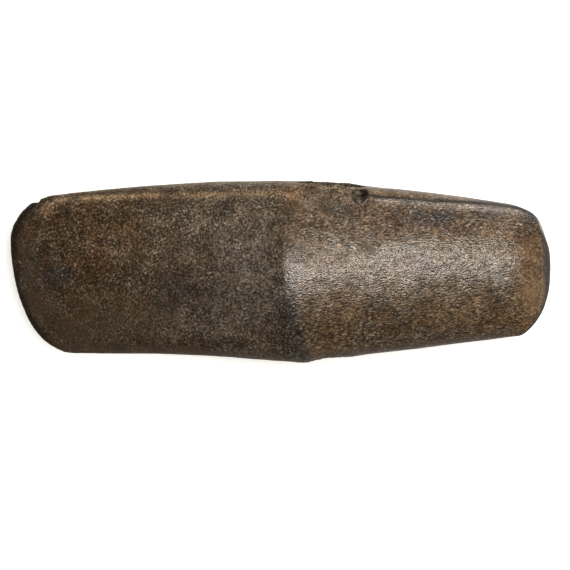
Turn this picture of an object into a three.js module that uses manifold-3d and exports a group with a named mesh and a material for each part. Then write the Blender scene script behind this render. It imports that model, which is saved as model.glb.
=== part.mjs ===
// A shaft-hole hammer axe of ground stone, lying on its side.
// One stone: a blade with a broad blunt cutting edge, a ridge across each side at its thickest,
// a butt that ends in a domed hammer face, and a haft hole bored through from top to bottom.
// Millimetres. X runs from the cutting edge to the hammer face, Y up the haft hole, and Z through
// the thickness, upwards as the axe lies. While it is shaped, the ridge is at x = 0 and the middle
// plane at z = 0. At the end the origin goes to the middle of the ground under it.
import * as THREE from "three";
import { mergeVertices } from "three/addons/utils/BufferGeometryUtils.js";
import Module from "manifold-3d";

// Lengths along the axe
const BLADE_LENGTH = 96; // cutting edge to ridge
const BUTT_LENGTH = 94; // ridge to the tip of the hammer face
const RIDGE_LEAN = 7.4; // how far the foot of the ridge stands towards the butt

// Heights, from the middle line of the side view
const RIDGE_TOP = 30.8;
const RIDGE_BOTTOM = 32.8;
const BLADE_TOP_DROP = 7; // the top line, from the ridge to the cutting edge
const BLADE_BOTTOM_RISE = 2.9; // the lower line, from the ridge's foot to the blade's straight part
const BLADE_BOTTOM_RUN = 60; // the length of that rise
const BUTT_TOP_DROP = 10.4; // the top line, from the ridge to the hammer face
const BUTT_BOTTOM_RISE = 10.4;

// Thicknesses
const RIDGE_THICKNESS = 52;
const POLL_THICKNESS = 37;
const EDGE_THICKNESS = 2.8;
const TOP_FACE_WIDTH = 29; // the narrow top face, at the ridge
const BOTTOM_FACE_WIDTH = 31;
const TOP_ROLL = 1.5; // how far the top face falls away at its long edges
const TOP_ROLL_POWER = 8; // 2 is a round face, more is a flatter one with rolled edges

// Rounding of the ends, as depths along X
const EDGE_LOWER_CORNER = 21.2;
const EDGE_UPPER_CORNER = 15;
const EDGE_LEAD = 0.48; // where the edge stands furthest out, as a share of the half height
const POLL_LEAD = 0.05; // and where the hammer face does
const POLL_CORNER = 14.5; // the hammer face's rounding in the side view
const POLL_DOME = 11; // and across its thickness
const POLL_SQUARENESS = 2.1; // 2 is an ellipse

// Wear of the long edges, as radii at the ridge
const TOP_ARRIS_RADIUS = 1.6;
const BOTTOM_ARRIS_RADIUS = 6;
const RIDGE_ROUND_LOWER = 0.8; // thickness lost where the two planes of a side meet, below
const RIDGE_ROUND_UPPER = 5; // and near the top, where the ridge fades out

// How full the sides are
const WEDGE_FULLNESS = 0.78; // 1 is a flat wedge, less is a fuller blade
const SIDE_BOW = 2.1; // 2 is a round side, more is a flatter one
const CREST_RISE = 5; // how far the butt's thickest line climbs from the ridge to the hammer face
const TOP_LINE_BEND = 1.5; // 1 is a straight line behind the ridge

// Haft hole, a little narrower at the waist
const HOLE_BEHIND_RIDGE = 16;
const HOLE_WAIST = 24;
const HOLE_MOUTH = 25.6;

// Flats
const UPPER_LAND_DEPTH = 0.5; // the ground land round the upper mouth
const LOWER_LAND_DEPTH = 0.4; // and the one round the lower mouth, which runs on along the butt
const REST_DEPTH = 1.1; // the worn spot that the axe lies on

// The break in the upper mouth's rim, on the side that lies upwards
const BREAK_LENGTH = 28;
const BREAK_DEPTH = 1.9;
const BREAK_RADIUS = 9;
const BREAK_BELOW_RIM = 3; // the break's middle
const BREAK_FACES = 0.7; // its slope: 0 faces sideways, 1 halfway and more faces up the haft
const BREAK_ROUGHNESS = 0.35;
const PIT_RADIUS = 2.9;
const PIT_BEHIND_HOLE = 10.7; // from the hole's middle
const PIT_BELOW_RIM = 2.4;

// The spall at the upper corner of the cutting edge
const SPALL_LENGTH = 10.7;
const SPALL_DEPTH = 2;
const SPALL_TILT = 0.07;

// Mesh
const STATIONS = 50; // along the axe, half before the ridge
const SIDE_ROWS = 22;
const FACE_ROWS = 10;
const HOLE_SEGMENTS = 44;
const HOLE_RINGS = 8;
const SPACING_SWING = 0.6; // stations crowd at the ends and at the ridge
const REACH = 400; // longer than the axe, for tools that cut right through
const SLIVER = 0.01; // what the cuts leave that is narrower than this is merged away

const ridgeHalf = RIDGE_THICKNESS / 2;
const pollHalf = POLL_THICKNESS / 2;
const edgeHalf = EDGE_THICKNESS / 2;
const ridgeHeight = RIDGE_TOP + RIDGE_BOTTOM;

const mix = THREE.MathUtils.lerp;

// 0 in the middle of an end and 1 at its rim, along a quarter of a superellipse.
function quarterRound(share, squareness) {
  const s = Math.min(1, Math.abs(share));
  return 1 - (1 - s ** squareness) ** (1 / squareness);
}

// The smaller of two values, with the corner between them rounded off by about a quarter of k.
function softMin(a, b, k) {
  const overlap = Math.max(k - Math.abs(a - b), 0) / k;
  return Math.min(a, b) - (overlap * overlap * k) / 4;
}

// Height of the top line over the middle line, at x.
function topLine(x) {
  if (x < 0) return RIDGE_TOP - BLADE_TOP_DROP * (x / BLADE_LENGTH) ** 2;
  return RIDGE_TOP - BUTT_TOP_DROP * (x / BUTT_LENGTH) ** TOP_LINE_BEND;
}

// Height of the lower line, which is lowest at the ridge's foot.
function bottomLine(x) {
  const fromFoot = x - RIDGE_LEAN;
  if (fromFoot > 0)
    return (
      -RIDGE_BOTTOM + (BUTT_BOTTOM_RISE * fromFoot) / (BUTT_LENGTH - RIDGE_LEAN)
    );
  const run = Math.min(1, -fromFoot / BLADE_BOTTOM_RUN);
  return -RIDGE_BOTTOM + BLADE_BOTTOM_RISE * Math.sin((run * Math.PI) / 2);
}

// Where the ridge crosses a side, at a share of the half height: 1 is the top and -1 the bottom.
function ridgeAt(heightShare) {
  return heightShare < 0 ? RIDGE_LEAN * heightShare ** 2 : 0;
}

// How far a height is from where an end stands furthest out: 0 there, 1 at the top and the bottom.
function fromLead(heightShare, lead) {
  const below = heightShare < lead;
  return Math.abs(heightShare - lead) / (below ? 1 + lead : 1 - lead);
}

// Where the cutting edge stands. depthShare is 0 on the middle plane and 1 on a side.
function edgeAt(heightShare, depthShare) {
  const corner =
    heightShare < EDGE_LEAD ? EDGE_LOWER_CORNER : EDGE_UPPER_CORNER;
  const outline = corner * quarterRound(fromLead(heightShare, EDGE_LEAD), 2);
  return -BLADE_LENGTH + outline + edgeHalf * quarterRound(depthShare, 2);
}

// Where the domed hammer face stands.
function pollAt(heightShare, depthShare) {
  const fromTip = fromLead(heightShare, POLL_LEAD);
  const inHeight = POLL_CORNER * quarterRound(fromTip, POLL_SQUARENESS);
  const inDepth = POLL_DOME * quarterRound(depthShare, POLL_SQUARENESS);
  return BUTT_LENGTH - Math.cbrt(inHeight ** 3 + inDepth ** 3);
}

// Half the thickness at x, at a share of the half height.
function halfThickness(x, heightShare) {
  const ridge = ridgeAt(heightShare);
  const edge = edgeAt(heightShare, 0);
  const share = Math.max(0, (x - edge) / (ridge - edge));
  const wedge = mix(edgeHalf, ridgeHalf, share ** WEDGE_FULLNESS);
  const butt = mix(ridgeHalf, pollHalf, (x - ridge) / (BUTT_LENGTH - ridge));
  const fade = THREE.MathUtils.smoothstep(heightShare, 0, 1);
  const thick = softMin(
    wedge,
    butt,
    mix(RIDGE_ROUND_LOWER, RIDGE_ROUND_UPPER, fade),
  );
  const crest = (Math.max(0, x / BUTT_LENGTH) * CREST_RISE) / (ridgeHeight / 2);
  const above = heightShare > crest;
  const fromCrest = (heightShare - crest) / (above ? 1 - crest : 1 + crest);
  const faceWidth = above ? TOP_FACE_WIDTH : BOTTOM_FACE_WIDTH;
  const narrowing = 1 - faceWidth / RIDGE_THICKNESS;
  return thick * (1 - narrowing * Math.abs(fromCrest) ** SIDE_BOW);
}

// Rounds the four long edges of the section: a point on the square from -1 to 1 moves inwards near
// a corner of it, by as much as a fillet of that radius takes.
function roundedSection(v, w) {
  const radius = v > 0 ? TOP_ARRIS_RADIUS : BOTTOM_ARRIS_RADIUS;
  const faceHalf = (v > 0 ? TOP_FACE_WIDTH : BOTTOM_FACE_WIDTH) / 2;
  const sideHalf = ridgeHeight / 2;
  const bite = radius * (1 - Math.SQRT1_2);
  const nearTop = Math.abs(v) ** ((3 * sideHalf) / radius);
  const nearSide = Math.abs(w) ** ((3 * faceHalf) / radius);
  const roll = v > 0 ? TOP_ROLL * Math.abs(w) ** TOP_ROLL_POWER : 0;
  return [
    v * (1 - (bite * nearSide + roll) / sideHalf),
    w * (1 - (bite / faceHalf) * nearTop),
  ];
}

// Spaces points from 0 to 1 closer at both ends.
function crowdedEnds(share) {
  return share - (SPACING_SWING * Math.sin(2 * Math.PI * share)) / (2 * Math.PI);
}

// A point of a box from -1 to 1 each way, moved to the surface of the stone.
function onStone(point) {
  const [heightShare, depthShare] = roundedSection(
    Math.sin((point.y * Math.PI) / 2),
    Math.sin((point.z * Math.PI) / 2),
  );
  const end =
    point.x < 0
      ? edgeAt(heightShare, depthShare)
      : pollAt(heightShare, depthShare);
  const x = mix(ridgeAt(heightShare), end, crowdedEnds(Math.abs(point.x)));
  const share = (1 + heightShare) / 2;
  return new THREE.Vector3(
    x,
    mix(bottomLine(x), topLine(x), share),
    depthShare * halfThickness(x, heightShare),
  );
}

const wasm = await Module();
wasm.setup();

// A closed three.js geometry as a solid.
function solidOf(geometry) {
  const bare = geometry.clone();
  bare.deleteAttribute("normal");
  bare.deleteAttribute("uv");
  const merged = mergeVertices(bare, 1e-4);
  return new wasm.Manifold(
    new wasm.Mesh({
      numProp: 3,
      vertProperties: merged.attributes.position.array,
      triVerts: new Uint32Array(merged.index.array),
    }),
  );
}

// A solid as a three.js geometry.
function geometryOf(solid) {
  const mesh = solid.getMesh();
  return new THREE.BufferGeometry()
    .setAttribute(
      "position",
      new THREE.BufferAttribute(new Float32Array(mesh.vertProperties), 3),
    )
    .setIndex(new THREE.BufferAttribute(new Uint32Array(mesh.triVerts), 1));
}

// A geometry with each vertex moved by a function.
function reshaped(geometry, move) {
  const position = geometry.attributes.position;
  const point = new THREE.Vector3();
  for (let i = 0; i < position.count; i++) {
    const moved = move(point.fromBufferAttribute(position, i));
    position.setXYZ(i, moved.x, moved.y, moved.z);
  }
  return geometry;
}

function stoneBody() {
  const box = new THREE.BoxGeometry(2, 2, 2, STATIONS, SIDE_ROWS, FACE_ROWS);
  return solidOf(reshaped(box, onStone));
}

// The haft hole as the solid that comes out of the stone, bored along Y.
function haftHole() {
  const half = ridgeHeight / 2;
  const profile = [new THREE.Vector2(0, -REACH / 2)];
  for (let i = 0; i <= HOLE_RINGS; i++) {
    const along = mix(-1, 1, i / HOLE_RINGS);
    const diameter = mix(HOLE_WAIST, HOLE_MOUTH, along ** 2);
    profile.push(new THREE.Vector2(diameter / 2, along * half));
  }
  profile.push(new THREE.Vector2(0, REACH / 2));
  const lathe = new THREE.LatheGeometry(profile, HOLE_SEGMENTS);
  return solidOf(lathe.translate(HOLE_BEHIND_RIDGE, 0, 0));
}

// What grinding takes off to leave a flat land round a mouth of the hole. way is 1 for the upper
// mouth and -1 for the lower one.
function land(line, way, depth) {
  const step = 1;
  const middle = line(HOLE_BEHIND_RIDGE);
  const slope = (line(HOLE_BEHIND_RIDGE + step) - middle) / step;
  const slab = new THREE.BoxGeometry(REACH, REACH, REACH);
  slab.translate(0, (way * REACH) / 2, 0).rotateZ(Math.atan(slope));
  return solidOf(slab.translate(HOLE_BEHIND_RIDGE, middle - way * depth, 0));
}

// The flat under the lower side's ridge that the axe lies on, at its thickest.
function restBelow() {
  const slab = new THREE.BoxGeometry(REACH, REACH, REACH);
  const peak = halfThickness(ridgeAt(0), 0);
  return solidOf(slab.translate(0, 0, -REACH / 2 - peak + REST_DEPTH));
}

// A repeatable number from -1 to 1 for a point, so that a broken surface is uneven.
function unevenness(point) {
  const wave = Math.sin(point.x * 127.1 + point.y * 311.7 + point.z * 74.7);
  return 2 * Math.abs((wave * 43758.5453) % 1) - 1;
}

// A point of the upper side, at x and so far below the top line.
function onUpperSide(x, belowTop) {
  const share = 1 - belowTop / (topLine(x) - bottomLine(x));
  const y = mix(bottomLine(x), topLine(x), share);
  return new THREE.Vector3(x, y, halfThickness(x, 2 * share - 1));
}

// The broken rim of the upper mouth, from the hole out over the edge onto the upper side.
function rimBreak() {
  const out = BREAK_RADIUS - BREAK_DEPTH;
  const reach = BREAK_LENGTH / 2 / Math.sqrt(1 - (out / BREAK_RADIUS) ** 2);
  const bite = reshaped(new THREE.SphereGeometry(1, 28, 18), (point) => {
    const uneven = 1 + (BREAK_ROUGHNESS / BREAK_RADIUS) * unevenness(point);
    const size = new THREE.Vector3(reach, BREAK_RADIUS, BREAK_RADIUS);
    return size.multiply(point).multiplyScalar(uneven);
  });
  const facing = new THREE.Vector3(0, BREAK_FACES, 1).setLength(out);
  const middle = onUpperSide(HOLE_BEHIND_RIDGE, BREAK_BELOW_RIM).add(facing);
  return solidOf(bite.translate(middle.x, middle.y, middle.z));
}

// The pit at the butt end of the break.
function rimPit() {
  const middle = onUpperSide(
    HOLE_BEHIND_RIDGE + PIT_BEHIND_HOLE,
    PIT_BELOW_RIM,
  );
  const ball = new THREE.IcosahedronGeometry(PIT_RADIUS, 2);
  return solidOf(ball.translate(middle.x, middle.y, middle.z));
}

// The spalled upper corner of the cutting edge, with a small step where the spall ran out.
function cornerSpall() {
  const end = -BLADE_LENGTH + SPALL_LENGTH;
  const slab = new THREE.BoxGeometry(REACH, REACH, REACH);
  slab.translate(-REACH / 2, REACH / 2, 0).rotateZ(SPALL_TILT);
  return solidOf(slab.translate(end, topLine(end) - SPALL_DEPTH, 0));
}

const stone = [
  haftHole(),
  land(topLine, 1, UPPER_LAND_DEPTH),
  land(bottomLine, -1, LOWER_LAND_DEPTH),
  restBelow(),
  rimBreak(),
  rimPit(),
  cornerSpall(),
]
  .reduce((solid, cut) => solid.subtract(cut), stoneBody())
  .asOriginal()
  .simplify(SLIVER);

const axeHead = new THREE.Mesh(
  geometryOf(stone),
  new THREE.MeshStandardMaterial({
    color: 0x5c5044,
    roughness: 0.55,
    metalness: 0,
  }),
);
axeHead.name = "axe_head";
axeHead.geometry.computeBoundingBox();
const bounds = axeHead.geometry.boundingBox;
const middle = bounds.getCenter(new THREE.Vector3());
axeHead.position.set(-middle.x, -middle.y, -bounds.min.z);

const hammerAxe = new THREE.Group();
hammerAxe.add(axeHead);

export default hammerAxe;
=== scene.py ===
"""Dresses the head of a stone hammer axe, which lies on its side under soft studio light.

The head is one ground stone, so there is one piece. Its form comes from the CAD solid. This script
gives it the skin of the real thing: the facets smoothed away, the hand-ground unevenness, the peck
marks of the blade, the rubbed grain of the butt, the rough break in the haft hole's rim, and the
stone's own colours, with light and shade painted into them in places. Lengths are in metres, in the
row's frame: X runs from the cutting edge to the hammer face, Y along the haft hole and Z up.
"""

import logging
import math
from dataclasses import dataclass, field
from enum import Enum
from itertools import product
from typing import Any

import bpy
import numpy as np
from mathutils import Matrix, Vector
from mathutils.bvhtree import BVHTree
from mathutils.kdtree import KDTree


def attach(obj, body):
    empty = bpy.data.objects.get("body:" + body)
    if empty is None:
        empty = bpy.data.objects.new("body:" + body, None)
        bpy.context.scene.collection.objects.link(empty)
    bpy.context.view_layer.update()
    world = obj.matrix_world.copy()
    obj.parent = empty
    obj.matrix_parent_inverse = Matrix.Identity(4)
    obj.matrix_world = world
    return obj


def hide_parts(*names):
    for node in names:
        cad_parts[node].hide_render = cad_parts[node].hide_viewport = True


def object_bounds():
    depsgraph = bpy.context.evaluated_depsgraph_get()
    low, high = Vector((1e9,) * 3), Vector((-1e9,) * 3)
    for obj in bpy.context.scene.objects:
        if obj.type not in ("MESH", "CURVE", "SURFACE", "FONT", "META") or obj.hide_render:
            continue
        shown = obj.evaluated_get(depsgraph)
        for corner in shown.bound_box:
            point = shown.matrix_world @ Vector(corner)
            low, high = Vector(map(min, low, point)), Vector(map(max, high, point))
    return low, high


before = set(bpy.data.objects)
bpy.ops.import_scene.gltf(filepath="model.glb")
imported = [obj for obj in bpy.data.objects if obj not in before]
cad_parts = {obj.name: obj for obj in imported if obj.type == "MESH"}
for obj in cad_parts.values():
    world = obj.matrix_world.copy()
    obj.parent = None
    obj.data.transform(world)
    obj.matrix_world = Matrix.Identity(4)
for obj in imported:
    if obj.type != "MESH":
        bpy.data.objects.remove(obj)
CAD_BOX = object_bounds()

LOG = logging.getLogger("hammer_axe")

# The photograph's frame, and what one of its pixels is worth on the stone.
FRAME_PIXELS = 570
PIXEL = 0.00035185

MM = 0.001


class Zone(Enum):
    """Parts of the skin that look different. Each is a share from 0 to 1 kept on every vertex."""

    BUTT = "butt"  # behind the ridge, where the grain is rubbed into fine lines
    POLISH = "polish"  # where hands have rubbed the butt to a dull gloss
    GREY = "grey"  # where the patina is thin and the grey of the stone comes through, and a painted sheen on the narrow faces
    SLATE = "slate"  # the dark clouds, the foot of the ridge, and painted shade on the hammer face's rim
    RUST = "rust"  # the orange-brown clouds, and the hammer face
    ARRIS = "arris"  # long edges worn through to a lighter stone, with painted light on the blade's upper arris and the hammer face
    LIGHT = "light"  # the palest stone, in and round the break, and painted light on the pit's lit wall
    SOIL = "soil"  # where soil fills the grain and hides the speckle
    SHADE_AND_DIRT = "painted_shade_and_dirt"  # grime in the dips, and painted shade in the pit, along the cutting edge, on the butt's upper arris and on the hammer face's rim
    BROKEN = "broken"  # bare stone where the rim came away


def linear(colour: str) -> tuple[float, float, float, float]:
    """Turns an sRGB hex colour into linear values.

    Args:
        colour: six hex digits after a hash sign.

    Returns:
        Red, green, blue and an alpha of 1.
    """
    shares = [int(colour[i : i + 2], 16) / 255 for i in (1, 3, 5)]
    red, green, blue = (
        s / 12.92 if s <= 0.04045 else ((s + 0.055) / 1.055) ** 2.4 for s in shares
    )
    return red, green, blue, 1.0


def ramp(values: np.ndarray, start: float, end: float) -> np.ndarray:
    """Rises smoothly from 0 at start to 1 at end.

    Args:
        values: what to judge.
        start: where the rise begins. It may be above end, and then it falls.
        end: where it is over.

    Returns:
        Shares from 0 to 1.
    """
    t = np.clip((values - start) / (end - start), 0.0, 1.0)
    return t * t * (3 - 2 * t)


def bell(values: np.ndarray, middle: float | np.ndarray, width: float) -> np.ndarray:
    """Shares that are 1 in the middle and fall to about a third at the width on either side."""
    return np.exp(-(((values - middle) / width) ** 2))


def add_node(
    tree: bpy.types.NodeTree,
    kind: str,
    settings: dict[str | int, Any] | None = None,
    links: dict[str | int, bpy.types.NodeSocket] | None = None,
) -> bpy.types.Node:
    """Adds a node to a material.

    Args:
        tree: the material's node tree.
        kind: the node's type name.
        settings: properties by name, and unlinked inputs by name or number.
        links: what feeds which input, by name or number.

    Returns:
        The new node.
    """
    node = tree.nodes.new(kind)
    for name, value in (settings or {}).items():
        if isinstance(name, str) and hasattr(node, name):
            setattr(node, name, value)
        else:
            node.inputs[name].default_value = value
    for name, source in (links or {}).items():
        tree.links.new(source, node.inputs[name])
    return node


@dataclass(frozen=True)
class Unevenness:
    """Smooth random bumps in space, the same on each run."""

    width: float  # from one bump to the next
    seed: int
    table_size: int = 48

    def at(self, points: np.ndarray) -> np.ndarray:
        """Gives the height of the bumps.

        Args:
            points: places, one per row.

        Returns:
            A value from -1 to 1 for each place.
        """
        rng = np.random.default_rng(self.seed)
        table = rng.uniform(-1.0, 1.0, (self.table_size,) * 3)
        turn = np.linalg.qr(rng.normal(size=(3, 3)))[0]
        scaled = points @ turn / self.width + rng.uniform(0, self.table_size, 3)
        cell = np.floor(scaled).astype(int)
        part = scaled - cell
        part = part * part * (3 - 2 * part)
        total = np.zeros(len(points))
        for corner in product((0, 1), repeat=3):
            x, y, z = ((cell + corner) % self.table_size).T
            weight = np.prod(np.where(np.array(corner) == 1, part, 1 - part), axis=1)
            total += weight * table[x, y, z]
        return total


@dataclass(frozen=True)
class Scoop:
    """A broken-out dip, as the rounded body that would fill it."""

    middle: tuple[float, float, float]
    half_size: tuple[float, float, float]

    def reach(self, points: np.ndarray) -> np.ndarray:
        """How far each point is from the middle, where 1 is the scoop's own wall."""
        return np.linalg.norm((points - self.middle) / self.half_size, axis=1)


@dataclass(frozen=True)
class Stain:
    """A soft cloud of colour on the side that shows, as seen from above."""

    zone: Zone
    middle: tuple[float, float]  # X and Y, mm
    half_size: tuple[float, float]
    share: float

    def cover(self, points: np.ndarray) -> np.ndarray:
        """How much of the cloud lies over each point."""
        away = (points[:, :2] / MM - self.middle) / self.half_size
        return self.share * np.exp(-np.sum(away**2, axis=1))


@dataclass(frozen=True)
class Corner:
    """A corner of the side view's outline that stands further out than the solid's."""

    middle: tuple[float, float]  # X and Y, mm
    width: float  # mm
    out: float

    def push(self, points: np.ndarray) -> np.ndarray:
        """How far each point is pushed out."""
        away = np.linalg.norm(points[:, :2] / MM - self.middle, axis=1)
        return self.out * bell(away, 0.0, self.width)


@dataclass(frozen=True)
class Marks:
    """Small dents of one kind, scattered over part of the skin."""

    count: int
    radius: tuple[float, float]
    depth: tuple[float, float]
    seed: int

    def dig(
        self, points: np.ndarray, normals: np.ndarray, where: np.ndarray
    ) -> np.ndarray:
        """Works out how deep the dents go.

        Args:
            points: the skin's vertices.
            normals: which way each faces.
            where: how likely a dent is to start at each vertex.

        Returns:
            A depth for each vertex.
        """
        rng = np.random.default_rng(self.seed)
        depths = np.zeros(len(points))
        starts = rng.choice(
            len(points), self.count, replace=False, p=where / where.sum()
        )
        for start in starts:
            radius = rng.uniform(*self.radius)
            depth = rng.uniform(*self.depth)
            apart = np.linalg.norm(points - points[start], axis=1) / radius
            facing = normals @ normals[start] > 0.3
            dent = depth * np.clip(1 - apart**2, 0, 1) * facing
            depths = np.maximum(depths, dent)
        return depths


class Skin:
    """The vertices of a mesh as arrays, for work on all of them at once."""

    def __init__(self, mesh: bpy.types.Mesh) -> None:
        """Reads the mesh's vertices and edges."""
        self.mesh = mesh
        count = len(mesh.vertices)
        self.points = np.empty(count * 3, np.float32)
        mesh.vertices.foreach_get("co", self.points)
        self.points = self.points.reshape(-1, 3).astype(float)
        edges = np.empty(len(mesh.edges) * 2, np.int32)
        mesh.edges.foreach_get("vertices", edges)
        self.ends = edges.reshape(-1, 2)
        self.degree = np.bincount(edges, minlength=count)

    def write(self) -> None:
        """Puts the changed vertices back into the mesh."""
        self.mesh.vertices.foreach_set("co", self.points.astype(np.float32).ravel())
        self.mesh.update()

    def normals(self) -> np.ndarray:
        """The mesh's vertex normals, one per row, as it was last written."""
        found = np.empty(len(self.points) * 3, np.float32)
        self.mesh.vertex_normals.foreach_get("vector", found)
        return found.reshape(-1, 3).astype(float)

    def around(self, values: np.ndarray) -> np.ndarray:
        """The mean of what a vertex's neighbours have, for one column or more."""
        columns = values.reshape(len(values), -1)
        start, end = self.ends.T
        total = [
            np.bincount(start, column[end], len(values))
            + np.bincount(end, column[start], len(values))
            for column in columns.T
        ]
        return (np.array(total) / self.degree).T.reshape(values.shape)

    def blurred(
        self, values: np.ndarray, passes: int, share: np.ndarray | float = 1.0
    ) -> np.ndarray:
        """Evens out values over the skin.

        Args:
            values: one column or more.
            passes: how often each takes half its neighbours' mean.
            share: how much of each pass a vertex takes part in.

        Returns:
            The evened values.
        """
        weight = 0.5 * np.broadcast_to(share, len(values))
        if values.ndim > 1:
            weight = weight[:, None]
        for _ in range(passes):
            values = values + weight * (self.around(values) - values)
        return values

    def keep(self, zone: Zone, shares: np.ndarray) -> None:
        """Stores a zone's shares on the mesh, where its material reads them."""
        layer = self.mesh.attributes.new(zone.value, "FLOAT", "POINT")
        layer.data.foreach_set("value", np.clip(shares, 0, 1).astype(np.float32))


@dataclass(frozen=True)
class GroundStone:
    """Fine-grained dark stone, pecked to shape and ground, brown from its time in the soil.

    The peck marks break up every reflection on the blade, so it looks matt and speckled. Behind the
    ridge handling has rubbed the high grains smooth, so a wide dull gloss with fine lines lies there.
    """

    soil_brown: str = "#342617"  # the patina
    olive: str = "#332d1c"
    rubbed: str = "#584530"
    grey: str = "#59524a"
    slate: str = "#2e2e31"
    rust: str = "#5e452c"
    rust_film: str = "#7a614b"
    # lighter worn stone, painted lighter still as a highlight on the blade's upper arris and as light
    # on the hammer face
    worn_tan_and_highlight: str = "#78664f"
    soil_film: str = "#483e31"
    bare_stone: str = "#594734"
    # also painted light on the pit's lit wall
    pale_stone: str = "#857a69"
    light_grain: str = "#a19481"
    # painted shade in the pit, along the cutting edge, on the butt's upper arris and the hammer
    # face's rim; grime in the dips
    dirt_and_painted_shade: str = "#120e0a"
    crystal_size: float = 0.5 * MM  # drawn a little coarser than they are
    peck_width: float = 0.75 * MM  # the unevenness that the pecking has left on the blade
    line_width: float = 0.55 * MM  # the rubbed lines of the butt
    line_stretch: float = 1.9
    line_slant: float = math.radians(7)
    patch_size: float = 13 * MM
    cloud_size: float = 4.5 * MM
    blade_roughness: float = 0.62
    butt_roughness: float = 0.45
    polish_roughness: float = 0.22
    grain_height: float = 0.32 * MM
    rubbed_height: float = 0.85  # of that, on the butt
    height_tone: tuple[float, float] = (0.4, 1.25)  # the pores' brightness and the high grains'
    crystal_tone: tuple[float, float] = (0.5, 1.15)  # the dark minerals' and the others'
    cloud_tone: tuple[float, float] = (0.75, 1.3)
    light_share: float = 0.6  # of its colour, in the lightest grains
    fresh_tone: tuple[float, float] = (0.4, 1.3)  # soil covers them here and there
    rubbed_bare: float = 1.25  # more of them show on the butt
    ior: float = 1.5
    gloss_level: float = 0.12  # soil in the pores swallows most of the gloss

    def material(self) -> bpy.types.Material:
        """Makes the stone's material, which reads the zones from the mesh."""
        made = bpy.data.materials.new("ground_stone")
        made.use_nodes = True
        tree = made.node_tree
        tree.nodes.clear()
        place = add_node(tree, "ShaderNodeTexCoord").outputs["Object"]
        zone = {
            z: add_node(
                tree, "ShaderNodeAttribute", {"attribute_name": z.value}
            ).outputs["Fac"]
            for z in Zone
        }
        height, crystal = self.grain(tree, place, zone)
        bump = add_node(
            tree,
            "ShaderNodeBump",
            {"Distance": self.grain_height},
            {
                "Height": height,
                "Strength": self.share(
                    tree, zone[Zone.BUTT], (0.0, 1.0), (1.0, self.rubbed_height)
                ),
            },
        )
        roughness = self.share(
            tree,
            zone[Zone.BUTT],
            (0.0, 1.0),
            (self.blade_roughness, self.butt_roughness),
        )
        stone = add_node(
            tree,
            "ShaderNodeBsdfPrincipled",
            {
                "IOR": self.ior,
                "Specular IOR Level": self.gloss_level,
                "Coat Roughness": self.polish_roughness,
            },
            {
                "Base Color": self.colour(tree, place, height, crystal, zone),
                "Roughness": roughness,
                "Normal": bump.outputs["Normal"],
                "Coat Weight": zone[Zone.POLISH],
                "Coat Normal": bump.outputs["Normal"],
            },
        )
        add_node(
            tree,
            "ShaderNodeOutputMaterial",
            links={"Surface": stone.outputs["BSDF"]},
        )
        return made

    def grain(
        self,
        tree: bpy.types.NodeTree,
        place: bpy.types.NodeSocket,
        zone: dict[Zone, bpy.types.NodeSocket],
    ) -> list[bpy.types.NodeSocket]:
        """Lays the pecked speckle of the blade and the rubbed lines of the butt.

        Args:
            tree: the material's nodes.
            place: the point on the stone.
            zone: the share of each zone there.

        Returns:
            The height of the grain, about 0 to 1, and a value of its own for each crystal.
        """
        along = add_node(
            tree,
            "ShaderNodeMapping",
            {
                "vector_type": "TEXTURE",
                "Rotation": (0.0, 0.0, self.line_slant),
                "Scale": (self.line_stretch, 1.0, 1.0),
            },
            {"Vector": place},
        ).outputs["Vector"]
        patterns = []
        for vector, width in ((place, self.peck_width), (along, self.line_width)):
            noise = add_node(
                tree,
                "ShaderNodeTexNoise",
                {"Scale": 1 / width, "Detail": 1.5, "Roughness": 0.5},
                {"Vector": vector},
            )
            cells = add_node(
                tree,
                "ShaderNodeTexVoronoi",
                {"Scale": 1 / self.crystal_size},
                {"Vector": vector},
            )
            patterns.append((noise.outputs["Fac"], cells.outputs["Color"]))
        return [
            add_node(
                tree,
                "ShaderNodeMix",
                links={0: zone[Zone.BUTT], 2: pecked, 3: rubbed},
            ).outputs[0]
            for pecked, rubbed in zip(*patterns, strict=True)
        ]

    def clouds(
        self, tree: bpy.types.NodeTree, place: bpy.types.NodeSocket
    ) -> list[bpy.types.NodeSocket]:
        """Spreads soft clouds over the stone.

        Args:
            tree: the material's nodes.
            place: the point on the stone.

        Returns:
            The shares of olive, grey and rust, the brightness, and how bare the light grains are.
        """
        kinds = (
            (self.patch_size, (0.45, 0.7), (0.0, 0.7)),
            (self.patch_size * 0.6, (0.45, 0.7), (0.0, 0.5)),
            (self.patch_size * 0.45, (0.45, 0.7), (0.0, 0.35)),
            (self.cloud_size, (0.35, 0.65), self.cloud_tone),
            (self.cloud_size * 1.7, (0.38, 0.62), self.fresh_tone),
        )
        found = []
        for width, taken, given in kinds:
            noise = add_node(
                tree,
                "ShaderNodeTexNoise",
                {"Scale": 1 / width, "Detail": 4.0},
                {"Vector": place},
            )
            found.append(self.share(tree, noise.outputs["Fac"], taken, given))
        return found

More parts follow.
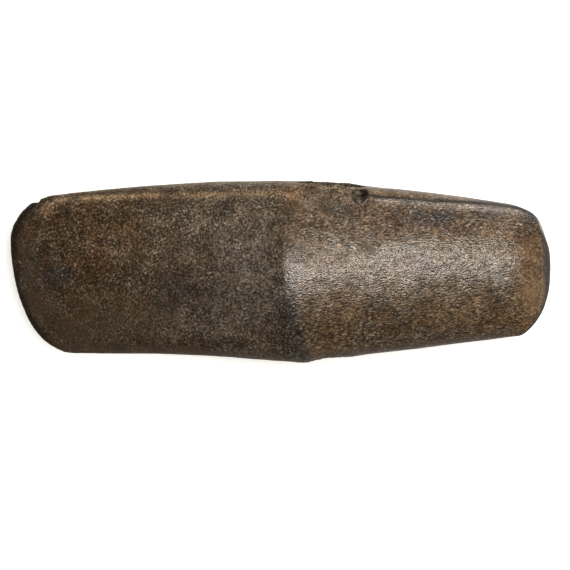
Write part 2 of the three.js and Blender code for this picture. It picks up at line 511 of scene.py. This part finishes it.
    def colour(
        self,
        tree: bpy.types.NodeTree,
        place: bpy.types.NodeSocket,
        height: bpy.types.NodeSocket,
        crystal: bpy.types.NodeSocket,
        zone: dict[Zone, bpy.types.NodeSocket],
    ) -> bpy.types.NodeSocket:
        """Lays the stone's colours over each other, from the patina to the bare breaks.

        Args:
            tree: the material's nodes.
            place: the point on the stone.
            height: the height of the grain there.
            crystal: the crystal's own value there.
            zone: the share of each zone there.

        Returns:
            The colour.
        """
        olive, grey, rust, cloud, fresh = self.clouds(tree, place)
        layers = [
            (zone[Zone.BUTT], self.rubbed),
            (zone[Zone.BROKEN], self.bare_stone),
            (olive, self.olive),
            (grey, self.grey),
            (rust, self.rust),
            (zone[Zone.GREY], self.grey),
            (zone[Zone.RUST], self.rust),
            (zone[Zone.SLATE], self.slate),
            (zone[Zone.ARRIS], self.worn_tan_and_highlight),
            (zone[Zone.LIGHT], self.pale_stone),
        ]
        below = self.layered(tree, layers, linear(self.soil_brown))
        dark = self.product(
            tree,
            cloud,
            self.share(tree, height, (0.3, 0.6), self.height_tone),
            self.share(tree, crystal, (0.15, 0.5), self.crystal_tone),
        )
        light = self.product(
            tree,
            fresh,
            self.share(tree, zone[Zone.BUTT], (0.0, 1.0), (1.0, self.rubbed_bare)),
            self.share(tree, height, (0.4, 0.65), (0.0, 1.0)),
            self.share(tree, crystal, (0.5, 0.9), (0.0, self.light_share)),
        )
        shaded = add_node(
            tree,
            "ShaderNodeVectorMath",
            {"operation": "SCALE"},
            {0: below, "Scale": dark},
        ).outputs["Vector"]
        top = [
            (light, self.light_grain),
            (self.share(tree, zone[Zone.RUST], (0.4, 0.9), (0.0, 0.5)), self.rust_film),
            (self.share(tree, zone[Zone.SOIL], (0.0, 1.0), (0.0, 0.6)), self.soil_film),
            # painted shade, and grime in the dips
            (zone[Zone.SHADE_AND_DIRT], self.dirt_and_painted_shade),
        ]
        return self.layered(tree, top, shaded)

    def product(
        self, tree: bpy.types.NodeTree, *values: bpy.types.NodeSocket
    ) -> bpy.types.NodeSocket:
        """Multiplies values.

        Args:
            tree: the material's nodes.
            *values: what to multiply.

        Returns:
            The product.
        """
        total, *others = values
        for value in others:
            total = add_node(
                tree,
                "ShaderNodeMath",
                {"operation": "MULTIPLY"},
                {0: total, 1: value},
            ).outputs["Value"]
        return total

    def layered(
        self,
        tree: bpy.types.NodeTree,
        layers: list[tuple[bpy.types.NodeSocket, str]],
        below: bpy.types.NodeSocket | tuple[float, float, float, float],
    ) -> bpy.types.NodeSocket:
        """Lays colours over each other.

        Args:
            tree: the material's nodes.
            layers: the share and the colour of each, from the lowest up.
            below: the colour under all of them.

        Returns:
            The colour on top.
        """
        for share, colour in layers:
            settings: dict[str | int, Any] = {"data_type": "RGBA", 7: linear(colour)}
            links = {0: share}
            (settings if isinstance(below, tuple) else links)[6] = below
            below = add_node(tree, "ShaderNodeMix", settings, links).outputs[2]
        return below

    def share(
        self,
        tree: bpy.types.NodeTree,
        value: bpy.types.NodeSocket,
        taken: tuple[float, float],
        given: tuple[float, float],
    ) -> bpy.types.NodeSocket:
        """Spreads a stretch of a pattern's values over another stretch, and cuts off what is outside.

        Args:
            tree: the material's nodes.
            value: the pattern.
            taken: its values at the ends of the stretch.
            given: the values that they become.

        Returns:
            The new values.
        """
        return add_node(
            tree,
            "ShaderNodeMapRange",
            {
                "From Min": taken[0],
                "From Max": taken[1],
                "To Min": given[0],
                "To Max": given[1],
            },
            {"Value": value},
        ).outputs["Result"]


@dataclass(frozen=True)
class Places:
    """Where each vertex lies on the head, before the relief moves it.

    Behind, below_top and over_foot are distances, and the others from butt on are shares from 0 to 1.
    """

    points: np.ndarray
    normals: np.ndarray
    behind: np.ndarray  # the ridge
    height: np.ndarray  # from -1 at the lower face to 1 at the upper one
    below_top: np.ndarray  # the side view's upper line
    over_foot: np.ndarray  # the side view's lower line
    reach: np.ndarray  # from the break's middle, where 1 is about its wall
    butt: np.ndarray
    broken: np.ndarray
    in_pit: np.ndarray
    pit_foot: np.ndarray
    inside: np.ndarray  # the haft hole
    outside: np.ndarray
    arris: np.ndarray
    keen: np.ndarray  # by the cutting edge
    shows: np.ndarray  # on the side that faces up


@dataclass
class AxeHead:
    """The whole head, in one stone."""

    node: str = "axe_head"
    finish: GroundStone = field(default_factory=GroundStone)
    mesh_width: float = 0.7 * MM
    blade_length: float = 96 * MM
    ridge_lean: float = 7.4 * MM
    hole_x: float = 17.0 * MM
    hole_drop: float = 0.6 * MM  # from the box's middle down to the hole's axis
    hole_wall: tuple[float, float] = (13.4 * MM, 12.9 * MM)  # just outside it, and at it
    sharp_turn: float = math.radians(32)  # edges of the solid that stay crisp
    crease_passes: int = 60
    broad_height: float = 0.12 * MM
    pecked_height: float = 0.045 * MM
    rubbed_height: float = 0.06 * MM
    broken_height: float = 0.38 * MM
    pit_widening: float = 0.5 * MM
    pit_foot_depth: float = 0.7 * MM
    far_rim_rise: float = 1.1 * MM
    sill_rise: float = 1.2 * MM
    rim_break: Scoop = Scoop(
        (17.0 * MM, 32.0 * MM, 46.5 * MM), (22.8 * MM, 9.0 * MM, 9.0 * MM)
    )
    rim_pit: Scoop = Scoop((27.7 * MM, 27.8 * MM, 39.8 * MM), (2.9 * MM,) * 3)
    pit_foot: Scoop = Scoop((27.0 * MM, 25.4 * MM, 40.8 * MM), (1.9 * MM,) * 3)
    pecks: Marks = Marks(300, (1.1 * MM, 2.0 * MM), (0.05 * MM, 0.14 * MM), 5)
    pits: Marks = Marks(30, (0.8 * MM, 1.3 * MM), (0.15 * MM, 0.35 * MM), 11)
    chips: Marks = Marks(60, (1.2 * MM, 3.0 * MM), (0.08 * MM, 0.3 * MM), 23)
    crumbs: Marks = Marks(70, (1.2 * MM, 2.6 * MM), (0.15 * MM, 0.5 * MM), 31)
    corners: tuple[Corner, ...] = (
        Corner((89.5, 19.5), 4.5, 0.9 * MM),  # the hammer face's upper one
        Corner((-79, -26), 4.0, -0.5 * MM),  # the cutting edge's lower one
    )
    stains: tuple[Stain, ...] = (
        Stain(Zone.GREY, (-30, 12), (22, 14), 0.5),
        Stain(Zone.GREY, (-10, 4), (11, 26), 0.7),
        Stain(Zone.GREY, (22, 22), (16, 7), 0.5),
        Stain(Zone.GREY, (-28, -14), (24, 10), 0.5),
        # grey stone by the ridge, lightened as a painted highlight
        Stain(Zone.GREY, (3.5, 1), (3.5, 8), 0.8),
        Stain(Zone.SLATE, (19, 22), (7, 3), 0.35),
        Stain(Zone.SLATE, (-79, -1), (6, 5), 0.6),
        Stain(Zone.SLATE, (-33, -5), (10, 4), 0.5),
        Stain(Zone.SLATE, (86.5, 17), (3, 6.5), 0.85),
        Stain(Zone.SLATE, (52, -22), (25, 5), 0.4),
        Stain(Zone.SLATE, (76, 22), (9, 3), 0.5),
        Stain(Zone.SLATE, (53, 19.5), (19, 4.5), 0.6),
        Stain(Zone.RUST, (-60, 12), (22, 12), 0.28),
        Stain(Zone.RUST, (-82, 22), (2.5, 3), 0.9),
        Stain(Zone.RUST, (-62, -12), (16, 9), 0.3),
        Stain(Zone.RUST, (35, 19), (12, 4), 0.4),
        Stain(Zone.RUST, (86, 0), (5, 18), 0.9),
        Stain(Zone.RUST, (62, -14), (18, 9), 0.3),
        Stain(Zone.RUST, (5, 26.5), (3.5, 3), 0.6),
        Stain(Zone.RUST, (24, 27), (3, 3), 0.5),
        Stain(Zone.RUST, (57, 16), (14, 4), 0.35),
        # the hammer face: worn lighter stone, lightened further as painted light
        Stain(Zone.ARRIS, (87, -3), (5, 13), 0.85),
        Stain(Zone.ARRIS, (64, -13), (16, 8), 0.3),
        Stain(Zone.LIGHT, (10, 24.5), (4, 1.8), 0.35),
        Stain(Zone.LIGHT, (18, 28.5), (4.5, 1.6), 0.55),
        Stain(Zone.LIGHT, (25, 28), (1.4, 2.2), 0.5),
        Stain(Zone.SOIL, (-66, -20), (32, 13), 0.85),
        Stain(Zone.SOIL, (-89, -4), (7, 22), 0.8),
        Stain(Zone.SHADE_AND_DIRT, (86.5, 18.5), (2, 5.5), 0.4),
    )

    def build(self) -> bpy.types.Object:
        """Makes the piece, gives it its relief and its finish, and puts it in the solid's place.

        Returns:
            The finished piece.
        """
        piece = self.remeshed()
        skin = Skin(piece.data)
        self.smooth(skin)
        at = self.places(skin)
        self.add_relief(skin, at)
        self.paint(skin, at)
        piece.data.materials.clear()
        piece.data.materials.append(self.finish.material())
        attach(piece, "root")
        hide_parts(self.node)
        LOG.info("%s: %d faces", piece.name, len(piece.data.polygons))
        return piece

    def remeshed(self) -> bpy.types.Object:
        """Copies the solid as an even mesh, fine enough to carry the relief."""
        solid = bpy.data.objects[self.node]
        copy = bpy.data.objects.new("stone_remesh", solid.data.copy())
        bpy.context.scene.collection.objects.link(copy)
        even = copy.modifiers.new("even", "REMESH")
        even.mode = "VOXEL"
        even.voxel_size = self.mesh_width
        even.use_smooth_shade = True
        seen = copy.evaluated_get(bpy.context.evaluated_depsgraph_get())
        mesh = bpy.data.meshes.new_from_object(seen)
        mesh.name = "stone_head"
        bpy.data.objects.remove(copy)
        piece = bpy.data.objects.new("stone_head", mesh)
        bpy.context.scene.collection.objects.link(piece)
        return piece

    def sharp_places(self) -> np.ndarray:
        """Points along the solid's edges that turn sharply: the hole's rims and the breaks."""
        mesh = bpy.data.objects[self.node].data
        sides: dict[tuple[int, int], list[Vector]] = {}
        spot = [tuple(np.round(v.co, 6)) for v in mesh.vertices]
        number = {place: i for i, place in enumerate(dict.fromkeys(spot))}
        for face in mesh.polygons:
            corners = [number[spot[v]] for v in face.vertices]
            for a, b in zip(corners, corners[1:] + corners[:1], strict=True):
                sides.setdefault((min(a, b), max(a, b)), []).append(face.normal)
        places = list(number)
        limit = math.cos(self.sharp_turn)
        found = []
        for (a, b), faces in sides.items():
            if len(faces) == 2 and faces[0].dot(faces[1]) < limit:
                start, end = Vector(places[a]), Vector(places[b])
                steps = 1 + int((end - start).length / self.mesh_width)
                found += [start.lerp(end, i / steps) for i in range(steps + 1)]
        return np.array(found)

    def smooth(self, skin: Skin) -> None:
        """Takes the solid's facets away, and leaves its sharp edges as they are."""
        solid = bpy.data.objects[self.node].data
        surface = BVHTree.FromPolygons(
            [v.co for v in solid.vertices], [p.vertices for p in solid.polygons]
        )
        skin.points = np.array([surface.find_nearest(p)[0] for p in skin.points])
        skin.write()
        sharp = self.sharp_places()
        tree = KDTree(len(sharp))
        for i, point in enumerate(sharp):
            tree.insert(point, i)
        tree.balance()
        away = np.array([tree.find(point)[2] for point in skin.points])
        share = 0.04 + 0.96 * ramp(away, 0.6 * MM, 3.0 * MM)
        share *= 1 - 0.88 * ramp(self.proud(skin), 0.15 * MM, 0.45 * MM)
        resting = skin.points[:, 2] < 0.05 * MM
        share[resting] = 0.0
        skin.points = skin.blurred(skin.points, 24, share)
        skin.write()
        # The long side passes into the hammer face without a crease.
        behind_end = CAD_BOX[1].x - skin.points[:, 0]
        round_off = ramp(behind_end, 4 * MM, 7 * MM) * ramp(behind_end, 17 * MM, 13 * MM)
        round_off *= ramp(np.abs(skin.normals()[:, 2]), 0.5, 0.8)
        skin.points = skin.blurred(skin.points, self.crease_passes, round_off)
        skin.write()

    def proud(self, skin: Skin) -> np.ndarray:
        """How far each vertex stands out from the skin round it, which is most on an arris."""
        sunk = skin.points - skin.blurred(skin.points, 40)
        return np.sum(sunk * skin.normals(), axis=1)

    def side_view(self, points: np.ndarray) -> tuple[np.ndarray, np.ndarray]:
        """Where each point lies in the side view's outline.

        Args:
            points: places on the stone.

        Returns:
            How far each one is under the upper line and over the lower line, in Y.
        """
        step = 2 * MM
        low, high = CAD_BOX
        column = ((points[:, 0] - low.x) / step).astype(int)
        count = int((high.x - low.x) / step) + 2
        middles = low.x + step * (np.arange(count) + 0.5)
        found = []
        for side in (1, -1):
            line = np.full(count, low.y)
            np.maximum.at(line, column, side * points[:, 1])
            found.append(np.interp(points[:, 0], middles, line) - side * points[:, 1])
        return found[0], found[1]

    def ridge_line(self, points: np.ndarray) -> tuple[np.ndarray, np.ndarray]:
        """Where each point lies against the ridge.

        Args:
            points: places on the stone.

        Returns:
            How far behind the ridge each one is, and its height from -1 to 1.
        """
        low, high = CAD_BOX
        height = (points[:, 1] - (low.y + high.y) / 2) / ((high.y - low.y) / 2)
        lean = self.ridge_lean * np.clip(-height, 0, 1) ** 2
        return points[:, 0] - (low.x + self.blade_length + lean), height

    def hole_z(self) -> float:
        """The height of the haft hole's axis."""
        low, high = CAD_BOX
        return (low.z + high.z) / 2 - self.hole_drop

    def places(self, skin: Skin) -> Places:
        """Works out where each vertex lies.

        Args:
            skin: the smoothed skin.

        Returns:
            The places that the relief and the colours go by.
        """
        points, normals = skin.points, skin.normals()
        behind, height = self.ridge_line(points)
        below_top, over_foot = self.side_view(points)
        fade = ramp(height, 0.1, 0.7)  # the ridge is sharp at its foot and gone at its top
        butt = ramp(behind, -0.6 * MM, 1.6 * MM) * (1 - fade)
        butt += ramp(behind, -4 * MM, 10 * MM) * fade
        ragged = Unevenness(3.5 * MM, 21).at(points) + Unevenness(1.8 * MM, 22).at(points)
        reach = self.rim_break.reach(points) + 0.13 * ragged
        middle = self.hole_z()
        from_axis = np.linalg.norm(points[:, (0, 2)] - (self.hole_x, middle), axis=1)
        inside = ramp(from_axis, *self.hole_wall) * (1 - normals[:, 1] ** 2)
        low = CAD_BOX[0]
        return Places(
            points=points,
            normals=normals,
            behind=behind,
            height=height,
            below_top=below_top,
            over_foot=over_foot,
            reach=reach,
            butt=butt,
            broken=ramp(reach, 1.25, 0.95),
            in_pit=ramp(self.rim_pit.reach(points), 1.25, 1.05),
            pit_foot=ramp(self.pit_foot.reach(points), 1.3, 0.7),
            inside=inside,
            outside=1 - inside,
            arris=ramp(self.proud(skin), 0.18 * MM, 0.7 * MM) * (1 - inside),
            keen=ramp(points[:, 0], low.x + 20 * MM, low.x + 8 * MM),
            shows=ramp(points[:, 2], middle - 4 * MM, middle + 4 * MM),
        )

    def bumps(self, at: Places) -> np.ndarray:
        """Works out the unevenness that grinding, rubbing and breaking have left.

        Args:
            at: where the vertices lie.

        Returns:
            How far each vertex stands out.
        """
        points, middle = at.points, self.hole_z()
        broad = Unevenness(17 * MM, 1).at(points) + 0.5 * Unevenness(8 * MM, 2).at(points)
        pecked = Unevenness(3.2 * MM, 3).at(points)
        pecked += 0.7 * Unevenness(1.7 * MM, 4).at(points)
        rubbed = Unevenness(1.7 * MM, 6).at(points * np.array([0.3, 1.0, 1.0]))
        rough = 1 - 2 * np.abs(Unevenness(4.0 * MM, 8).at(points))
        rough += 0.8 * Unevenness(1.9 * MM, 9).at(points)
        rough *= at.broken * ramp(points[:, 2], middle, middle + 9 * MM)
        widened = ramp(self.rim_pit.reach(points), 1.4, 1.0) * at.outside
        widened *= ramp(points[:, 0], 29.5 * MM, 27.5 * MM)
        out = self.broad_height * broad
        out += self.pecked_height * pecked * (1 - 0.7 * at.butt)
        out += self.rubbed_height * rubbed * at.butt
        out += self.broken_height * rough
        out -= self.pit_widening * widened
        out -= self.pit_foot_depth * at.pit_foot * at.outside
        return out

    def dents(self, at: Places) -> np.ndarray:
        """Works out the peck marks, the pits, the chips of the arrises and the break's crumbs.

        Args:
            at: where the vertices lie.

        Returns:
            How deep each vertex lies in them.
        """
        middle = self.hole_z()
        chipped = at.arris**2 * (1 - at.keen) * ramp(at.over_foot, 1 * MM, 4 * MM)
        round_break = ramp(at.reach, 1.5, 1.15) * at.outside
        round_break *= ramp(at.points[:, 2], middle + 9 * MM, middle + 12 * MM)
        anywhere = 1e-9  # keeps enough vertices for a mark to start at
        depths = np.zeros(len(at.points))
        for marks, where in (
            (self.pecks, (1.1 - at.butt) * at.outside),
            (self.pits, at.outside),
            (self.chips, chipped + anywhere),
            (self.crumbs, round_break + anywhere),
        ):
            depths = np.maximum(depths, marks.dig(at.points, at.normals, where))
        return depths

    def add_relief(self, skin: Skin, at: Places) -> None:
        """Moves the skin in and out by what tools, hands and the soil have left on it.

        Args:
            skin: the skin to move.
            at: where its vertices lie.
        """
        points, middle, high = at.points, self.hole_z(), CAD_BOX[1]
        out = (self.bumps(at) - self.dents(at)) * ramp(points[:, 2], 0.0, 1.5 * MM)
        # The far rim of the hole's upper mouth is whole, and stands on the side view's outline.
        rim = bell(points[:, 0], 19 * MM, 10 * MM)
        rim *= ramp(points[:, 1], high.y - 6 * MM, high.y - 3 * MM)
        rim *= ramp(points[:, 2], middle + 8 * MM, middle)
        # The deepest part of the break isn't as deep as the scoop that stands for it.
        sill = bell(points[:, 0], 17.5 * MM, 6.5 * MM) * at.broken
        sill *= ramp(points[:, 1], high.y - 9 * MM, high.y - 5 * MM)
        sill *= ramp(points[:, 2], middle + 7 * MM, middle + 11 * MM)
        out *= 1 - rim
        side = ramp(np.abs(at.normals[:, 2]), 0.8, 0.4)
        for corner in self.corners:
            out += corner.push(points) * side
        skin.points = points + at.normals * out[:, None]
        skin.points[:, 1] += self.far_rim_rise * rim + self.sill_rise * sill
        skin.points[:, 2] = np.maximum(skin.points[:, 2], 0.0)
        skin.write()

    def dirt_and_painted_shade(self, skin: Skin, at: Places) -> np.ndarray:
        """Works out the darker places: grime in dips, painted shade in the pit and by the cutting
        edge, deep in the hole.

        Args:
            skin: the finished skin.
            at: where its vertices lay before the relief.

        Returns:
            A share for each vertex.
        """
        points, normals, middle, high = at.points, at.normals, self.hole_z(), CAD_BOX[1]
        sunk = skin.blurred(skin.points, 6) - skin.points
        dips = ramp(np.sum(sunk * skin.normals(), axis=1), 0.03 * MM, 0.2 * MM)
        from_middle = np.abs(points[:, 2] - middle)
        deep = ramp(points[:, 1], high.y - 5 * MM, high.y - 9 * MM)  # below the hole's mouth
        places = (
            0.6 * dips * (1 - 0.6 * at.broken),
            # painted shade on the pit's walls that face the cutting edge and the upper face, and in
            # its foot
            0.8 * at.in_pit * ramp(normals[:, 0], 0.1, -0.4),
            0.75 * at.in_pit * ramp(normals[:, 1], 0.3, 0.6),
            0.6 * at.pit_foot * at.outside,
            # painted shade: a dark stripe along the cutting edge
            0.85 * at.keen * ramp(from_middle, 3.2 * MM, 1.6 * MM),
            # darker deeper inside the haft hole
            0.35 * at.inside * deep,
        )
        return np.maximum.reduce(places)

    def gloss(self, at: Places, cloudy: np.ndarray) -> np.ndarray:
        """Works out where hands have rubbed the butt to a gloss.

        It is strongest along the crown of its side, which rises to the hammer face. It is weaker by
        the ridge and the break, and ends before the hammer face.

        Args:
            at: where the vertices lie.
            cloudy: how strong any cloud of colour is at each of them.

        Returns:
            A share for each vertex.
        """
        points, high = at.points, CAD_BOX[1]
        crown = 0.13 * (points[:, 0] - 12.5 * MM)
        end = points[:, 0] + 1.5 * MM * Unevenness(7 * MM, 43).at(points)
        polish = at.butt * (0.75 + 0.25 * ramp(at.behind, 4 * MM, 70 * MM)) * cloudy
        polish *= 0.35 + 0.85 * bell(points[:, 1], crown, 9 * MM)
        polish *= ramp(np.abs(at.normals[:, 2]), 0.55, 0.9)
        polish *= ramp(end, high.x - 8 * MM, high.x - 17 * MM)
        polish *= ramp(at.reach, 1.2, 1.9) * at.outside
        polish *= 1 + 0.5 * Unevenness(1.9 * MM, 42).at(points)
        return polish

    def paint(self, skin: Skin, at: Places) -> None:
        """Stores the share of each zone on the skin.

        Args:
            skin: the finished skin.
            at: where its vertices lay before the relief.
        """
        points, normals, high = at.points, at.normals, CAD_BOX[1]
        cloudy = 1 + 0.5 * Unevenness(4 * MM, 41).at(points)
        shares = {zone: np.zeros(len(points)) for zone in Zone}
        for stain in self.stains:
            shares[stain.zone] += stain.cover(points) * cloudy * at.shows
        # The butt's upper arris: a painted line of shade with a thin gloss under it.
        strip = 2.7 * MM - 1.9 * MM * ramp(at.behind, 45 * MM, 78 * MM)
        under_line = at.below_top - strip
        far = ramp(at.behind, 20 * MM, 28 * MM) * at.shows
        painted_shade_line = far * bell(under_line, 0.0, 0.5 * MM)
        thin_gloss = far * bell(under_line, 1.5 * MM, 0.9 * MM)
        # The blade's upper arris: a worn, lighter stripe that is also a painted highlight.
        before = ramp(at.behind, 6 * MM, -2 * MM)
        band_middle = 1.8 * MM + 2.4 * MM * ramp(at.behind, -90 * MM, -20 * MM)
        wear_and_highlight_band = bell(at.below_top, band_middle, 1.0 * MM) * at.shows
        wear_and_highlight_band *= before * (1 - at.keen) * np.clip(2 * cloudy - 1.2, 0.2, 1)
        # Painted shade darkens the hammer face's rim, and the ridge's foot and the hole's mouth are
        # dark.
        edge = ramp(points[:, 0], high.x - 14 * MM, high.x - 8 * MM)
        edge *= ramp(np.abs(normals[:, 2]), 0.6, 0.35)
        foot = bell(at.behind, 1.2 * MM, 3.3 * MM) * ramp(at.height, 0.05, -0.3) * cloudy
        mouth = at.inside * ramp(points[:, 1], high.y - 9 * MM, high.y - 5 * MM)
        # painted light on the pit's wall that faces the hammer face
        pit_wall_painted_light = at.in_pit * ramp(normals[:, 0], 0.0, 0.4) * (1 - at.pit_foot)

        shares[Zone.BUTT] = at.butt * (1 - at.broken) * at.outside * (1 - 0.8 * edge)
        shares[Zone.POLISH] = self.gloss(at, cloudy) + thin_gloss
        # painted sheen: grey on the narrow upper and lower faces; grey stone at the hole's mouth
        shares[Zone.GREY] += 0.5 * ramp(np.abs(normals[:, 1]), 0.8, 0.98) + 0.8 * mouth
        # painted shade on the hammer face's rim, in slate
        shares[Zone.SLATE] += 0.7 * foot + 0.5 * mouth + 0.7 * edge
        shares[Zone.ARRIS] += wear_and_highlight_band
        shares[Zone.LIGHT] += 0.8 * pit_wall_painted_light
        shares[Zone.SOIL] += 0.8 * ramp(at.over_foot, 4 * MM, 1.5 * MM) * at.shows
        shares[Zone.BROKEN] = np.maximum(at.broken, 0.7 * at.in_pit)
        # painted shade: the line along the butt's upper arris and the hammer face's rim
        lines = np.maximum(painted_shade_line, 0.6 * edge)
        shares[Zone.SHADE_AND_DIRT] += np.maximum(self.dirt_and_painted_shade(skin, at), lines)
        for zone, values in shares.items():
            skin.keep(zone, values)


@dataclass(frozen=True)
class Softbox:
    """A flat soft light that faces the stone."""

    name: str
    lean: tuple[float, float]  # degrees from straight above, towards +X and towards +Y
    away: float
    size: tuple[float, float]  # along X and across
    watts: float
    target: tuple[float, float, float] = (0.0, 0.0, 0.025)

    def hang(self, colour: tuple[float, float, float]) -> None:
        """Puts the light in its place.

        Args:
            colour: its linear colour.
        """
        data = bpy.data.lights.new(self.name, "AREA")
        data.shape = "RECTANGLE"
        data.size, data.size_y = self.size
        data.energy = self.watts
        data.color = colour
        lamp = bpy.data.objects.new(self.name, data)
        bpy.context.scene.collection.objects.link(lamp)
        along, across = (math.radians(angle) for angle in self.lean)
        back = Vector((math.tan(along), math.tan(across), 1.0)).normalized()
        lamp.location = Vector(self.target) + back * self.away
        lamp.rotation_euler = (-back).to_track_quat("-Z", "Y").to_euler()


@dataclass
class Studio:
    """The pale floor, the lights and the camera over the stone."""

    floor_colour: str = "#f4f4f2"
    floor_glow: float = 0.5  # a light table, which takes the shadows away
    light_colour: str = "#fffaf4"
    lens: float = 200.0
    sensor: float = 36.0
    tilt: float = math.radians(3.0)  # how far the camera leans to the upper face
    aim: tuple[float, float, float] = (1.6 * MM, -4.9 * MM, 25 * MM)
    contrast: float = 0.85  # below 1 the dark stone prints darker against the white floor
    room_glow: float = 0.15
    softboxes: tuple[Softbox, ...] = (
        Softbox("key_softbox", (10.0, 6.0), 1.5, (0.75, 0.75), 27.0),
        Softbox("back_strip", (0.0, 84.0), 1.1, (1.2, 0.25), 12.0),
    )

    def build(self) -> None:
        """Sets up all of it."""
        self.floor()
        self.camera()
        self.world()
        for softbox in self.softboxes:
            softbox.hang(linear(self.light_colour)[:3])
        view = bpy.context.scene.view_settings
        view.view_transform = "Standard"
        view.gamma = self.contrast
        LOG.info("studio: floor, %d lights and the camera", len(self.softboxes))

    def floor(self) -> None:
        """Lays the floor under the stone."""
        mesh = bpy.data.meshes.new("floor")
        half = 3.0
        corners = [(x * half, y * half, 0.0) for x, y in product((-1, 1), repeat=2)]
        mesh.from_pydata(corners, [], [(0, 2, 3, 1)])
        floor = bpy.data.objects.new("floor", mesh)
        bpy.context.scene.collection.objects.link(floor)
        paper = bpy.data.materials.new("floor_paper")
        paper.use_nodes = True
        shader = paper.node_tree.nodes["Principled BSDF"]
        shader.inputs["Base Color"].default_value = linear(self.floor_colour)
        shader.inputs["Roughness"].default_value = 0.9
        shader.inputs["Emission Color"].default_value = linear(self.floor_colour)
        shader.inputs["Emission Strength"].default_value = self.floor_glow
        mesh.materials.append(paper)

    def camera(self) -> None:
        """Puts the camera where the photograph was taken from."""
        data = bpy.data.cameras.new("camera")
        data.lens = self.lens
        data.sensor_width = self.sensor
        camera = bpy.data.objects.new("camera", data)
        bpy.context.scene.collection.objects.link(camera)
        away = FRAME_PIXELS * PIXEL * self.lens / self.sensor
        back = Vector((0.0, math.sin(self.tilt), math.cos(self.tilt)))
        camera.location = Vector(self.aim) + back * away
        camera.rotation_euler = (-self.tilt, 0.0, 0.0)
        bpy.context.scene.camera = camera

    def world(self) -> None:
        """Fills the room with a dim even light."""
        world = bpy.data.worlds.new("room")
        world.use_nodes = True
        ground = world.node_tree.nodes["Background"]
        ground.inputs["Color"].default_value = (1.0, 1.0, 1.0, 1.0)
        ground.inputs["Strength"].default_value = self.room_glow
        bpy.context.scene.world = world


def main() -> None:
    """Builds the piece and the studio."""
    logging.basicConfig(level=logging.INFO, format="%(name)s %(message)s")
    AxeHead().build()
    Studio().build()


if __name__ == "__main__":
    main()
